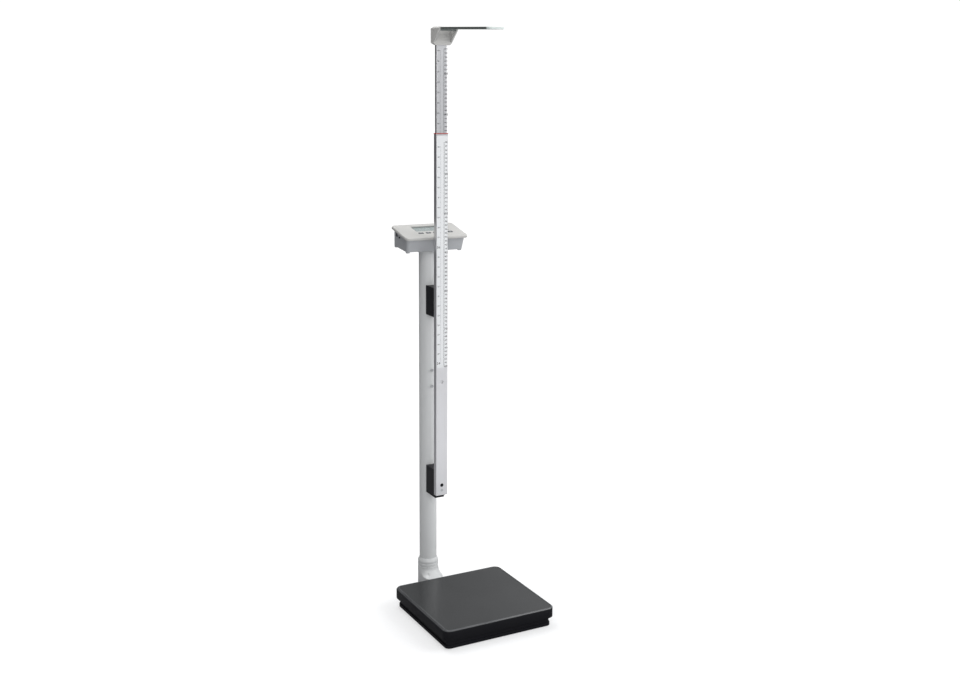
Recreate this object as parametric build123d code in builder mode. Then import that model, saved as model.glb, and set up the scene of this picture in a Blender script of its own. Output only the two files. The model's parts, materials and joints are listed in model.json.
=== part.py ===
"""Column scale for weighing a person, with a telescopic height rod.

+Z is up, X runs across the platform and -Y is the side that the person steps on from.
The origin is the centre of the platform's top face, the zero of the height rod, so a
height on the rod's printed scale is a Z in this frame.  Sizes are millimetres.
"""
from build123d import *
from math import atan2, cos, degrees, radians, sin, tan
import os

os.makedirs("parts", exist_ok=True)

# ---------------------------------------------------------------- driving dimensions
# Platform cover and the base under it
cover_width = 319.0
cover_depth = 309.0
cover_height = 28.0
cover_wall = 3.0
cover_corner = 20.0
cover_edge_chamfer = 3.4
stack_height = 55.0          # floor to the platform's top face
foot_pad_height = 3.0
foot_pad_radius = 15.0
base_inset = 10.0            # cover's side to base's side
base_wall = 3.0
base_ridge = 2.5             # how far the ridge round the bottom stands out
base_ridge_height = 8.0
base_wall_top = -20.0

# Weighing parts
frame_thickness = 3.0
frame_inset = 6.0
channel_width, channel_height = 30.0, 10.0
post_radius = 6.0
cell_length, cell_section = 70.0, 13.0
cell_top = -21.0
cell_hole = 4.2
cell_side_gap = 1.0          # cell's end to the base's wall
cell_pitch_y = 226.0
foot_pitch_x, foot_pitch_y = 256.0, 250.0
pad_height = 2.5
cell_bolt_radius = 2.9
cell_boss_radius = 9.0
foot_bolt_radius = 3.9
junction_standoff = 5.0

# Column and its cast foot
column_x = -30.1
column_setback = 57.5        # platform's back edge to the column's axis
column_radius = 23.4
column_wall = 1.6
column_bottom = -40.0
column_top = 893.0
collar_wall = 4.5
collar_shoulder = 34.0
collar_top = 42.0
collar_groove_depth = 0.8
tongue_thickness = 9.0
tongue_reach = 62.0          # how far the tongue lies inside the base
gusset_top = 15.0            # where the gusset meets the collar
gusset_gap = 1.0             # gusset's front to the cover's back
clamp_screw_radius = 2.9
clamp_screw_z = 6.0
clamp_boss = 3.0             # how far the clamp screw's boss stands out
cable_hole = 6.0
spare_screw_heights = [533.0, 577.0]
head_screw_circle = 25.0
head_screw_radius = 1.9

# Height rod
outer_width, outer_depth, outer_wall = 33.8, 15.0, 1.5
outer_bottom, outer_top = 246.3, 1200.0
rod_slip = 0.3               # gap between the two rods, on each side
rod_play = 0.9               # gap between them at front and back, taken up by the shoe
rod_corner = 2.4
inner_wall = 1.2
inner_length = 925.0
index_height = 2.0
spring_pocket = 1.6
shoe_flange = 8.0

# Brackets between column and rod
bracket_depth = 46.6         # column's front line to the outer rod's back
bracket_height = 77.0
bracket_width = 32.0
bracket_seat = 1.2           # how deep the column lies in each bracket's hollow
bracket_grip = 12.0
bracket_screw_radius = 2.45
upper_bracket_middle = 768.5
bracket_screw_pitch = 44.0
lip_height = 8.0
lip_width = 25.5
lip_reach = 8.0              # how far the lip runs forward under the rod
rod_access_radius = 3.3
rod_screw_radius = 1.75
rod_screw_head = 3.2
upper_rod_screw_z = 769.0
lower_rod_screw_z = 274.1
lower_screw_radius = 2.4
lower_screw_head = 4.8
lower_head_height = 2.7
plug_rivet_z = 260.0
rivet_radius = 2.6
spare_rod_hole_z = 557.6

# Headpiece and blade, as the rod stands now
head_bottom = 1417.0
head_height = 44.0
head_width = 52.0
head_cheek = 4.0             # thickness of the two cheeks that carry the blade
head_skin = 2.0              # how far the head stands out behind the outer rod's back
head_reach = 34.0            # how far the cheeks stand forward of the outer rod's face
head_screw_head = 3.2
blade_length = 252.0
blade_width = 44.0
blade_thickness = 5.0
blade_tip_length = 12.0
blade_droop = 1.8            # degrees below level when fully raised
neck_length = 11.0           # hinge to where the blade widens, clear of the head
pin_radius = 2.0
knuckle_radius = 4.5
washer_thickness = 0.6

# Indicator
lid_width, lid_length = 177.6, 102.0
lid_thickness = 7.5
lid_skin = 2.5
lid_rim = 5.1                # rolled lip: lid's side to the housing's side
lid_tilt = 13.5              # degrees, rising to the back
lid_corner = 10.0
housing_corner = 9.9
lid_front_y, lid_front_z = 150.5, 937.7
wall_taper = 5.3             # degrees
floor_tilt = 5.8
floor_front_z = 898.0        # bottom face, where it would meet the lid's front edge
housing_wall = 2.5
panel_shift = 9.0            # keys sit this far right of the middle
window_width, window_length = 95.0, 38.0
window_shift = 6.5           # display sits this far right of the middle
window_middle = 14.0
key_width, key_length = 13.6, 8.6
key_pitch, key_row = 21.0, -18.0
key_travel = 0.7
key_names = ["key_on_off", "key_units", "key_hold", "key_tare", "key_body_mass"]
switch_top_drop = 9.6
board_drop = 12.4
board_thickness = 1.6
board_screw_radius = 1.2
corner_post_radius = 3.6
corner_post_drop = 26.0
corner_screw_radius = 1.5
corner_foot = 9.0
jack_y, jack_z = 225.0, 938.5
jack_bore = 2.75
jack_nose = 4.8
port_shift, port_rise = 15.0, -5.0
port_width, port_height = 8.0, 4.5

# Clearances
slip = 0.3                   # loose fit round something that moves
seat = 0.1                   # round something that is pushed in and stays
running = 0.05               # shaft in its hole, on the radius

# ---------------------------------------------------------------- places that follow
floor_z = -stack_height
base_bottom = floor_z + foot_pad_height
base_floor_top = base_bottom + base_wall
platform_back = cover_depth / 2
column_y = platform_back + column_setback
column_front = column_y - column_radius
collar_radius = column_radius + collar_wall
tongue_width = 2 * collar_radius
base_width = cover_width - 2 * base_inset
base_depth = cover_depth - 2 * base_inset
base_corner = cover_corner - base_inset
cell_pitch_x = base_width - 2 * (base_wall + cell_side_gap) - cell_length
outer_back = column_front - bracket_depth
outer_front = outer_back - outer_depth
outer_middle = outer_back - outer_depth / 2
lower_bracket_middle = outer_bottom - lip_height + bracket_height / 2
cavity_width = outer_width - 2 * outer_wall
cavity_depth = outer_depth - 2 * outer_wall
inner_width = cavity_width - 2 * rod_slip
inner_depth = cavity_depth - 2 * rod_play
head_top = head_bottom + head_height
head_front = outer_front - head_reach
socket_top = head_bottom + 30.0
head_screw_z = socket_top - 14
inner_bottom = socket_top - inner_length
hinge_y = head_front + 7.0
hinge_z = head_top - 6.0
fork_width = head_width - 2 * head_cheek
lid_plane = Plane(
    origin=(
        column_x,
        lid_front_y + lid_length / 2 * cos(radians(lid_tilt)),
        lid_front_z + lid_length / 2 * sin(radians(lid_tilt)),
    ),
    x_dir=(1, 0, 0),
    z_dir=(0, -sin(radians(lid_tilt)), cos(radians(lid_tilt))),
)
floor_plane = Plane(
    origin=(column_x, lid_front_y, floor_front_z),
    x_dir=(1, 0, 0),
    z_dir=(0, -sin(radians(floor_tilt)), cos(radians(floor_tilt))),
)
key_places = [panel_shift + (i - 2) * key_pitch for i in range(5)]
board_width, board_length = lid_width - 60.0, lid_length - 18.0
quarters = [(sx, sy) for sx in (-1, 1) for sy in (-1, 1)]
post_places = [(sx * (board_width / 2 - 5.0), sy * (board_length / 2 - 3.0)) for sx, sy in quarters]
corner_places = [(sx * (lid_width / 2 - 19.5), sy * (lid_length / 2 - 13.5)) for sx, sy in quarters]
corner_foot_x, corner_foot_y = lid_width - 29.0, lid_length - 32.0
housing_lean = 9.0           # how far back the tilted walls carry the middle of the floor
cell_spots = [(sx * cell_pitch_x / 2, sy * cell_pitch_y / 2) for sx, sy in quarters]


def save(part, name):
    """Label a finished piece and write it as its own STEP file."""
    part.label = name
    export_step(part, f"parts/{name}.step")


def tilted(plane, x=0.0, y=0.0, drop=0.0):
    """The given plane moved to (x, y) on itself and down by drop along its normal."""
    return Plane(origin=plane.from_local_coords((x, y, -drop)), x_dir=plane.x_dir, z_dir=plane.z_dir)


def facing_front(z, y):
    """A plane square to Y at height z on the column's centre line, its normal to the front."""
    return Plane(origin=(column_x, y, z), x_dir=(1, 0, 0), z_dir=(0, -1, 0))


def facing_back(z, y):
    """A plane square to Y at height z on the column's centre line, its normal to the back."""
    return Plane(origin=(column_x, y, z), x_dir=(-1, 0, 0), z_dir=(0, 1, 0))


def screw(plane, head_radius, head_height, shank_radius, length, cone=False, socket=1.2):
    """A screw whose head's top lies on the plane, pointing down the plane's normal."""
    with BuildPart(mode=Mode.PRIVATE) as made:
        with BuildSketch(plane):
            Circle(head_radius)
        if cone:
            extrude(amount=-head_height, taper=degrees(atan2(head_radius - shank_radius, head_height)))
        else:
            extrude(amount=-head_height)
        with BuildSketch(tilted(plane, drop=head_height / 2)):
            Circle(shank_radius)
        extrude(amount=head_height / 2 - length)
        with BuildSketch(plane):
            RegularPolygon(head_radius * 0.45, 6)
        extrude(amount=-socket, mode=Mode.SUBTRACT)
    return made.part


# ---------------------------------------------------------------- platform
def platform_cover():
    """Moulded cover: a shallow box, open below, with its top edge chamfered."""
    with BuildPart() as cover:
        with BuildSketch():
            RectangleRounded(cover_width, cover_depth, cover_corner)
        extrude(amount=-cover_height)
        chamfer(cover.faces().sort_by(Axis.Z)[-1].edges(), cover_edge_chamfer)
        with BuildSketch(Plane.XY.offset(-cover_height)):
            RectangleRounded(
                cover_width - 2 * cover_wall, cover_depth - 2 * cover_wall, cover_corner - cover_wall
            )
        extrude(amount=cover_height - cover_wall, mode=Mode.SUBTRACT)
    save(cover.part, "platform_cover")


def platform_frame():
    """Pressed steel plate under the cover, with two folded channels and four load posts."""
    width = cover_width - 2 * (cover_wall + frame_inset)
    depth = cover_depth - 2 * (cover_wall + frame_inset)
    with BuildPart() as frame:
        with BuildSketch(Plane.XY.offset(-cover_wall)):
            RectangleRounded(width, depth, cover_corner - cover_wall)
        extrude(amount=-frame_thickness)
        with BuildSketch(Plane.XY.offset(-cover_wall - frame_thickness)):
            with GridLocations(width / 2, 0, 2, 1):
                Rectangle(channel_width, depth - 60)
                Rectangle(channel_width - 2 * frame_thickness, depth - 60, mode=Mode.SUBTRACT)
        extrude(amount=-channel_height)
        with BuildSketch(Plane.XY.offset(-cover_wall - frame_thickness)):
            with Locations(*cell_load_points()):
                Circle(post_radius)
        extrude(amount=cell_top + pad_height + cover_wall + frame_thickness)
    save(frame.part, "platform_frame")


def cell_load_points():
    """Where each load cell takes its load: its inner end."""
    reach = cell_length / 2 - 9
    return [(x - (reach if x > 0 else -reach), y) for x, y in cell_spots]


def cell_fixed_points():
    """Where each load cell is bolted to the base: its outer end."""
    reach = cell_length / 2 - 11
    return [(x + (reach if x > 0 else -reach), y) for x, y in cell_spots]


def load_pads():
    """Rubber pads between the frame's posts and the load cells."""
    with BuildPart() as pads:
        with BuildSketch(Plane.XY.offset(cell_top)):
            with Locations(*cell_load_points()):
                Circle(post_radius + 1)
        extrude(amount=pad_height)
    save(pads.part, "load_pads")


def load_cells():
    """Four aluminium bending beams, each with the double hole that makes its thin webs."""
    with BuildPart() as cells:
        with BuildSketch(Plane.XY.offset(cell_top)):
            with Locations(*cell_spots):
                Rectangle(cell_length, cell_section)
        extrude(amount=-cell_section)
        for side in (-1, 1):
            middle = side * cell_pitch_x / 2
            with BuildSketch(Plane.XZ.offset(-cover_depth / 2)):
                with Locations((middle, cell_top - cell_section / 2)):
                    SlotCenterToCenter(14, 2 * cell_hole)
            extrude(amount=cover_depth, mode=Mode.SUBTRACT)
        with BuildSketch(Plane.XY.offset(cell_top)):
            with Locations(*cell_fixed_points()):
                Circle(cell_bolt_radius + slip)
        extrude(amount=-cell_section, mode=Mode.SUBTRACT)
    save(cells.part, "load_cells")


def load_cell_bolts():
    """One cap screw through each load cell's fixed end into the base's boss."""
    head = 4.0
    length = head + cell_section + 8
    bolts = [
        screw(Plane(origin=(x, y, cell_top + head)), 5.0, head, cell_bolt_radius, length, socket=2.0)
        for x, y in cell_fixed_points()
    ]
    save(Compound(children=bolts), "load_cell_bolts")


# ---------------------------------------------------------------- base
def base_tray():
    """Tray inside the cover: floor, walls, ridge, load-cell bosses and the back opening."""
    width, depth, corner = base_width, base_depth, base_corner
    boss_top = cell_top - cell_section
    with BuildPart() as tray:
        with BuildSketch(Plane.XY.offset(base_bottom)):
            RectangleRounded(width, depth, corner)
        extrude(amount=base_wall_top - base_bottom)
        with BuildSketch(Plane.XY.offset(base_floor_top)):
            RectangleRounded(width - 2 * base_wall, depth - 2 * base_wall, corner - base_wall)
        extrude(amount=base_wall_top - base_floor_top, mode=Mode.SUBTRACT)
        with BuildSketch(Plane.XY.offset(base_bottom)):
            RectangleRounded(width + 2 * base_ridge, depth + 2 * base_ridge, corner + base_ridge)
            RectangleRounded(width - base_wall, depth - base_wall, corner, mode=Mode.SUBTRACT)
        extrude(amount=base_ridge_height)
        with BuildSketch(Plane.XY.offset(base_floor_top)):
            with Locations(*cell_fixed_points()):
                Circle(cell_boss_radius)
        extrude(amount=boss_top - base_floor_top)
        with BuildSketch(Plane.XY.offset(boss_top)):
            with Locations(*cell_fixed_points()):
                Circle(cell_bolt_radius + seat)
        extrude(amount=-9, mode=Mode.SUBTRACT)
        with BuildSketch(Plane.XY.offset(base_floor_top)):
            with Locations((column_x, depth / 2)):
                Rectangle(tongue_width + 2 * slip, 4 * base_wall + 2 * base_ridge)
        extrude(amount=base_wall_top - base_floor_top, mode=Mode.SUBTRACT)
        with BuildSketch(Plane.XY.offset(base_bottom)):
            with Locations(*tongue_bolt_points()):
                Circle(foot_bolt_radius + seat)
        extrude(amount=base_wall, mode=Mode.SUBTRACT)
    save(tray.part, "base_tray")


def tongue_bolt_points():
    """The four bolts that hold the column foot's tongue down on the base's floor."""
    rows = [platform_back - tongue_reach + 12, platform_back - tongue_reach + 40]
    return [(column_x + side * 17, row) for side in (-1, 1) for row in rows]


def rubber_feet():
    """Four round rubber feet pressed up against the underside of the base."""
    with BuildPart() as feet:
        with BuildSketch(Plane.XY.offset(floor_z)):
            with GridLocations(foot_pitch_x, foot_pitch_y, 2, 2):
                Circle(foot_pad_radius)
        extrude(amount=foot_pad_height)
        fillet(feet.edges().group_by(Axis.Z)[0], 1.0)
    save(feet.part, "rubber_feet")


def junction_board():
    """Board that joins the four load cells' wires, on short standoffs on the base's floor."""
    with BuildPart() as board:
        with BuildSketch(Plane.XY.offset(base_floor_top + junction_standoff)):
            Rectangle(60, 36)
        extrude(amount=board_thickness)
        with BuildSketch(Plane.XY.offset(base_floor_top)):
            with GridLocations(50, 26, 2, 2):
                Circle(3)
        extrude(amount=junction_standoff)
        with BuildSketch(Plane.XY.offset(base_floor_top + junction_standoff + board_thickness)):
            with GridLocations(13, 0, 4, 1):
                Rectangle(9, 8)
        extrude(amount=6)
    save(board.part, "junction_board")


# ---------------------------------------------------------------- column
def column_foot():
    """Cast foot: a collar round the column and a gusset that runs into a flat tongue."""
    tongue_top = base_floor_top + tongue_thickness
    collar_front = column_y - collar_radius
    root_y = platform_back + gusset_gap
    crest = (collar_front + 4, gusset_top)
    with BuildPart() as foot:
        with BuildSketch(Plane.YZ.offset(column_x - tongue_width / 2)):
            with BuildLine():
                Polyline(
                    crest,
                    (column_y, gusset_top),
                    (column_y, base_floor_top),
                    (platform_back - tongue_reach, base_floor_top),
                    (platform_back - tongue_reach, tongue_top),
                    (root_y, tongue_top),
                    (root_y, -3),
                )
                TangentArc((root_y, -3), crest, tangent=(1, 0.1))
            make_face()
        extrude(amount=tongue_width)
        with BuildSketch(Plane.XY.offset(base_floor_top)):
            with Locations((column_x, column_y)):
                Circle(collar_radius)
        extrude(amount=collar_shoulder - base_floor_top)
        with BuildSketch(Plane.XY.offset(collar_shoulder)):
            with Locations((column_x, column_y)):
                Circle(collar_radius)
        rim_taper = degrees(atan2(collar_radius - column_radius - 0.8, collar_top - collar_shoulder))
        extrude(amount=collar_top - collar_shoulder, taper=rim_taper)
        for ring in (27.0, 18.0):
            with BuildSketch(Plane.XY.offset(ring)):
                with Locations((column_x, column_y)):
                    Circle(collar_radius + 1)
                    Circle(collar_radius - collar_groove_depth, mode=Mode.SUBTRACT)
            extrude(amount=2.0, mode=Mode.SUBTRACT)
        with BuildSketch(clamp_plane()):
            Circle(8)
        extrude(amount=-12)
        add(front_pad())
        with BuildSketch(Plane.XY.offset(column_bottom)):
            with Locations((column_x, column_y)):
                Circle(column_radius + seat)
        extrude(amount=collar_top - column_bottom, mode=Mode.SUBTRACT)
        with BuildSketch(clamp_plane()):
            Circle(4.2)
        extrude(amount=-3, mode=Mode.SUBTRACT)
        with BuildSketch(clamp_plane()):
            Circle(clamp_screw_radius + seat)
        extrude(amount=-14, mode=Mode.SUBTRACT)
        with BuildSketch(Plane.XY.offset(base_floor_top)):
            with Locations(*tongue_bolt_points()):
                Circle(foot_bolt_radius + seat)
        extrude(amount=tongue_thickness, mode=Mode.SUBTRACT)
        with BuildSketch(Plane.XY.offset(base_floor_top)):
            with Locations((column_x, column_y)):
                Circle(cable_hole)
            with Locations((column_x, (column_y + platform_back - 20) / 2)):
                Rectangle(2 * cable_hole, column_y - platform_back + 20)
        extrude(amount=5, mode=Mode.SUBTRACT)
        with BuildSketch(Plane.XY.offset(base_floor_top)):
            with Locations((column_x, column_y)):
                Circle(cable_hole)
        extrude(amount=column_bottom - base_floor_top, mode=Mode.SUBTRACT)
    save(foot.part, "column_foot")


def front_pad():
    """Smooth oval pad cast on the front of the collar."""
    stand_out = 4.0
    with BuildPart(mode=Mode.PRIVATE) as pad:
        with BuildSketch(facing_front(-1, column_y - collar_radius - stand_out)):
            RectangleRounded(30, 15, 7)
        extrude(amount=-12)
        fillet(pad.faces().sort_by(Axis.Y)[0].edges(), 2.5)
    return pad.part


def clamp_plane():
    """Outer face of the boss behind the collar that the clamp screw goes into."""
    return facing_back(clamp_screw_z, column_y + collar_radius + clamp_boss)


def foot_bolts():
    """Four hexagon-socket bolts down through the tongue and the base's floor."""
    top = base_floor_top + tongue_thickness + 5
    bolts = [
        screw(Plane(origin=(x, y, top)), 6.5, 5.0, foot_bolt_radius, top - base_bottom, socket=2.5)
        for x, y in tongue_bolt_points()
    ]
    save(Compound(children=bolts), "foot_bolts")


def clamp_screw():
    """Screw that locks the column in its collar."""
    head = tilted(clamp_plane(), drop=0.5)
    save(screw(head, 4.1, 2.5, clamp_screw_radius, 9.0, socket=1.4), "clamp_screw")


def bracket_screw_heights(middle):
    """Heights of the two screws that hold a bracket to the column."""
    return [middle - bracket_screw_pitch / 2, middle + bracket_screw_pitch / 2]


def column_tube():
    """Round steel tube, with tapped holes for the bracket screws and two spare ones."""
    heights = bracket_screw_heights(upper_bracket_middle)
    heights += bracket_screw_heights(lower_bracket_middle) + spare_screw_heights
    with BuildPart() as column:
        with BuildSketch(Plane.XY.offset(column_bottom)):
            with Locations((column_x, column_y)):
                Circle(column_radius)
                Circle(column_radius - column_wall, mode=Mode.SUBTRACT)
        extrude(amount=column_top - column_bottom)
        for height in heights:
            with BuildSketch(facing_front(height, column_y)):
                Circle(bracket_screw_radius + running)
            extrude(amount=column_radius + 1, mode=Mode.SUBTRACT)
        with BuildSketch(facing_back(clamp_screw_z, column_y)):
            Circle(clamp_screw_radius + seat)
        extrude(amount=column_radius + 1, mode=Mode.SUBTRACT)
    save(column.part, "column_tube")


def spare_screws():
    """Two pan-head screws that close the column's spare bracket holes."""
    head = 2.4
    screws = [
        screw(facing_front(height, column_front - head), 4.4, head, bracket_screw_radius, 9.0)
        for height in spare_screw_heights
    ]
    save(Compound(children=screws), "spare_screws")


def column_head():
    """Cast plug in the column's top, with a sloping flange that carries the indicator."""
    plug_length = 45.0
    flange_radius = 31.0
    with BuildPart() as head:
        with BuildSketch(Plane.XY.offset(column_top)):
            with Locations((column_x, column_y)):
                Circle(flange_radius)
        extrude(amount=40)
        split(bisect_by=floor_plane, keep=Keep.BOTTOM)
        with BuildSketch(Plane.XY.offset(column_top)):
            with Locations((column_x, column_y)):
                Circle(column_radius - column_wall - seat)
        extrude(amount=-plug_length)
        with BuildSketch(Plane.XY.offset(column_top - plug_length)):
            with Locations((column_x, column_y)):
                Circle(cable_hole)
        extrude(amount=plug_length + 60, mode=Mode.SUBTRACT)
        with BuildSketch(head_face()):
            with PolarLocations(head_screw_circle, 4, start_angle=45):
                Circle(head_screw_radius + seat)
        extrude(amount=-5, mode=Mode.SUBTRACT)
    save(head.part, "column_head")


def head_face(up=0.0):
    """The sloping face between flange and housing, centred over the column."""
    run = column_y - floor_plane.origin.Y
    centre = (column_x, column_y, floor_plane.origin.Z + run * tan(radians(floor_tilt)))
    flat = Plane(origin=centre, x_dir=(1, 0, 0), z_dir=floor_plane.z_dir)
    return tilted(flat, drop=-up)


def head_screws():
    """Four screws down through the housing's floor into the column head."""
    top = head_face(up=housing_wall + 2.2)
    screws = [
        screw(
            tilted(top, head_screw_circle * cos(radians(a)), head_screw_circle * sin(radians(a))),
            3.5, 2.2, head_screw_radius, housing_wall + 2.2 + 4.5, socket=1.1,
        )
        for a in (45, 135, 225, 315)
    ]
    save(Compound(children=screws), "head_screws")


# ---------------------------------------------------------------- brackets
def bracket(middle, rod_screw_z, lip):
    """Plastic block between column and outer rod: hollow seat behind, screw holes through."""
    back = column_front + bracket_seat
    with BuildPart(mode=Mode.PRIVATE) as made:
        with BuildSketch(Plane.XY.offset(middle - bracket_height / 2)):
            with Locations((column_x, (outer_back + back) / 2)):
                Rectangle(bracket_width, back - outer_back)
            with Locations((column_x, column_y)):
                Circle(column_radius, mode=Mode.SUBTRACT)
        extrude(amount=bracket_height)
        chamfer(made.edges().filter_by(Axis.Z).group_by(Axis.Y)[0], 0.6)
        if lip:
            with BuildSketch(Plane.XY.offset(middle - bracket_height / 2)):
                with Locations((column_x - (bracket_width - lip_width) / 2, outer_back - lip_reach / 2 + 1)):
                    Rectangle(lip_width, lip_reach + 2)
            extrude(amount=lip_height)
        for height in bracket_screw_heights(middle):
            with BuildSketch(facing_front(height, outer_back)):
                Circle(5.4)
            extrude(amount=-(bracket_depth - bracket_grip), mode=Mode.SUBTRACT)
            with BuildSketch(facing_front(height, outer_back)):
                Circle(bracket_screw_radius + running)
            extrude(amount=-bracket_depth - 3, mode=Mode.SUBTRACT)
        with BuildSketch(facing_front(rod_screw_z, outer_back)):
            Circle((lower_screw_radius if lip else rod_screw_radius) + running)
        extrude(amount=-20, mode=Mode.SUBTRACT)
        if not lip:
            with BuildSketch(facing_front(rod_screw_z, outer_back)):
                Circle(rod_screw_radius + 0.4)
            extrude(amount=-1, mode=Mode.SUBTRACT)
    return made.part


def brackets():
    """The two black brackets; the lower one has the lip that the rod stands on."""
    save(bracket(upper_bracket_middle, upper_rod_screw_z, lip=False), "upper_bracket")
    save(bracket(lower_bracket_middle, lower_rod_screw_z, lip=True), "lower_bracket")


def bracket_screws():
    """Two pan-head screws per bracket, deep in the block, into the column's tapped holes."""
    head = 3.2
    bottom = outer_back + bracket_depth - bracket_grip
    screws = [
        screw(facing_front(height, bottom - head), 4.8, head, bracket_screw_radius, head + bracket_grip + 6)
        for middle in (upper_bracket_middle, lower_bracket_middle)
        for height in bracket_screw_heights(middle)
    ]
    save(Compound(children=screws), "bracket_screws")


# ---------------------------------------------------------------- height rod
def rod_profile(plane, width, depth, wall, length):
    """Rectangular tube with rounded outer corners, the shape of both rods."""
    with BuildPart(mode=Mode.PRIVATE) as made:
        with BuildSketch(plane):
            RectangleRounded(width, depth, rod_corner)
            Rectangle(width - 2 * wall, depth - 2 * wall, mode=Mode.SUBTRACT)
        extrude(amount=length)
    return made.part


def outer_rod():
    """Fixed outer rod: access holes in front, screw holes behind, open at both ends."""
    bottom = Plane(origin=(column_x, outer_middle, outer_bottom))
    blank = rod_profile(bottom, outer_width, outer_depth, outer_wall, outer_top - outer_bottom)
    cone_depth = 2.0
    with BuildPart() as rod:
        add(blank)
        for height in (upper_rod_screw_z, spare_rod_hole_z):
            with BuildSketch(facing_front(height, outer_middle)):
                Circle(rod_access_radius)
            extrude(amount=outer_depth, mode=Mode.SUBTRACT)
            with BuildSketch(facing_front(height, outer_front)):
                Circle(rod_access_radius + outer_wall)
            extrude(amount=-outer_wall, taper=45, mode=Mode.SUBTRACT)
        with BuildSketch(facing_front(upper_rod_screw_z, outer_back - outer_wall)):
            Circle(rod_screw_head + seat)
        extrude(
            amount=-outer_wall,
            taper=degrees(atan2(rod_screw_head - rod_screw_radius, cone_depth)),
            mode=Mode.SUBTRACT,
        )
        with BuildSketch(facing_front(lower_rod_screw_z, outer_front)):
            Circle(lower_screw_head + seat)
        extrude(
            amount=-lower_head_height,
            taper=degrees(atan2(lower_screw_head - lower_screw_radius, lower_head_height)),
            mode=Mode.SUBTRACT,
        )
        with BuildSketch(facing_front(lower_rod_screw_z, outer_front)):
            Circle(lower_screw_radius + seat)
        extrude(amount=-outer_depth, mode=Mode.SUBTRACT)
        with BuildSketch(facing_front(plug_rivet_z, outer_front)):
            Circle(rivet_radius + running)
        extrude(amount=-outer_depth / 2, mode=Mode.SUBTRACT)
    save(rod.part, "outer_rod")


def rod_screws():
    """Countersunk screw in the rod's back wall, and the black one through its foot."""
    upper = screw(
        facing_front(upper_rod_screw_z, outer_back - outer_wall),
        rod_screw_head, 1.5, rod_screw_radius, 14.0, cone=True, socket=0.7,
    )
    save(upper, "upper_rod_screw")
    lower = screw(
        facing_front(lower_rod_screw_z, outer_front),
        lower_screw_head, lower_head_height, lower_screw_radius, outer_depth + 16.0, cone=True, socket=1.6,
    )
    save(lower, "lower_rod_screw")


def rod_bottom_plug():
    """Plastic block that stops the outer rod's walls closing up under the lower screw."""
    height = 34.0
    width = cavity_width - 2 * seat
    depth = cavity_depth - 2 * seat
    with BuildPart() as plug:
        with BuildSketch(Plane(origin=(column_x, outer_middle, outer_bottom))):
            Rectangle(width, depth)
        extrude(amount=height)
        with BuildSketch(facing_front(lower_rod_screw_z, outer_front)):
            Circle(lower_screw_head + seat)
        extrude(
            amount=-lower_head_height,
            taper=degrees(atan2(lower_screw_head - lower_screw_radius, lower_head_height)),
            mode=Mode.SUBTRACT,
        )
        with BuildSketch(facing_front(lower_rod_screw_z, outer_front)):
            Circle(lower_screw_radius + seat)
        extrude(amount=-outer_depth, mode=Mode.SUBTRACT)
        with BuildSketch(facing_front(plug_rivet_z, outer_front)):
            Circle(rivet_radius + running)
        extrude(amount=-outer_depth / 2, mode=Mode.SUBTRACT)
    save(plug.part, "rod_bottom_plug")


def plug_rivet():
    """Short rivet that pins the bottom plug to the outer rod's front wall."""
    with BuildPart() as rivet:
        with BuildSketch(facing_front(plug_rivet_z, outer_front)):
            Circle(rivet_radius)
        extrude(amount=-outer_depth / 2 + 1)
        with BuildSketch(facing_front(plug_rivet_z, outer_front)):
            Circle(rivet_radius + 0.9)
        extrude(amount=0.5)
    save(rivet.part, "plug_rivet")


def index_collar():
    """Red collar on the outer rod's top edge: the line that the height is read at."""
    with BuildPart() as collar:
        with BuildSketch(Plane(origin=(column_x, outer_middle, outer_top))):
            RectangleRounded(outer_width + 0.8, outer_depth + 0.8, 1.2)
            Rectangle(inner_width + 2 * rod_slip, inner_depth + 2 * rod_slip, mode=Mode.SUBTRACT)
        extrude(amount=index_height)
    save(collar.part, "index_collar")


def inner_rod():
    """Sliding inner rod, from inside the outer rod up into the headpiece's socket."""
    bottom = Plane(origin=(column_x, outer_middle, inner_bottom))
    blank = rod_profile(bottom, inner_width, inner_depth, inner_wall, inner_length)
    with BuildPart() as rod:
        add(blank)
        with BuildSketch(facing_back(head_screw_z, outer_middle)):
            Circle(head_screw_radius + running)
        extrude(amount=inner_depth, mode=Mode.SUBTRACT)
    save(rod.part, "inner_rod")


def glide_shoe():
    """Plastic shoe in the inner rod's bottom end, which rubs on the outer rod's walls."""
    plug_height = 22.0
    with BuildPart() as shoe:
        with BuildSketch(Plane(origin=(column_x, outer_middle, inner_bottom))):
            Rectangle(inner_width - 2 * inner_wall - 2 * seat, inner_depth - 2 * inner_wall - 2 * seat)
        extrude(amount=plug_height)
        with BuildSketch(Plane(origin=(column_x, outer_middle, inner_bottom))):
            Rectangle(cavity_width - rod_slip, cavity_depth - rod_slip)
            with Locations((0, cavity_depth / 2)):
                Rectangle(10, spring_pocket * 2, mode=Mode.SUBTRACT)
        extrude(amount=-shoe_flange)
    save(shoe.part, "glide_shoe")


def brake_spring():
    """Bowed leaf spring in the shoe's back pocket, whose drag holds the rod where it is put."""
    with BuildPart() as spring:
        pocket_floor = outer_middle + cavity_depth / 2 - spring_pocket
        with BuildSketch(Plane(origin=(column_x, pocket_floor + 0.4, inner_bottom))):
            Rectangle(9, 0.8)
        extrude(amount=-shoe_flange)
    save(spring.part, "brake_spring")


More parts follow.
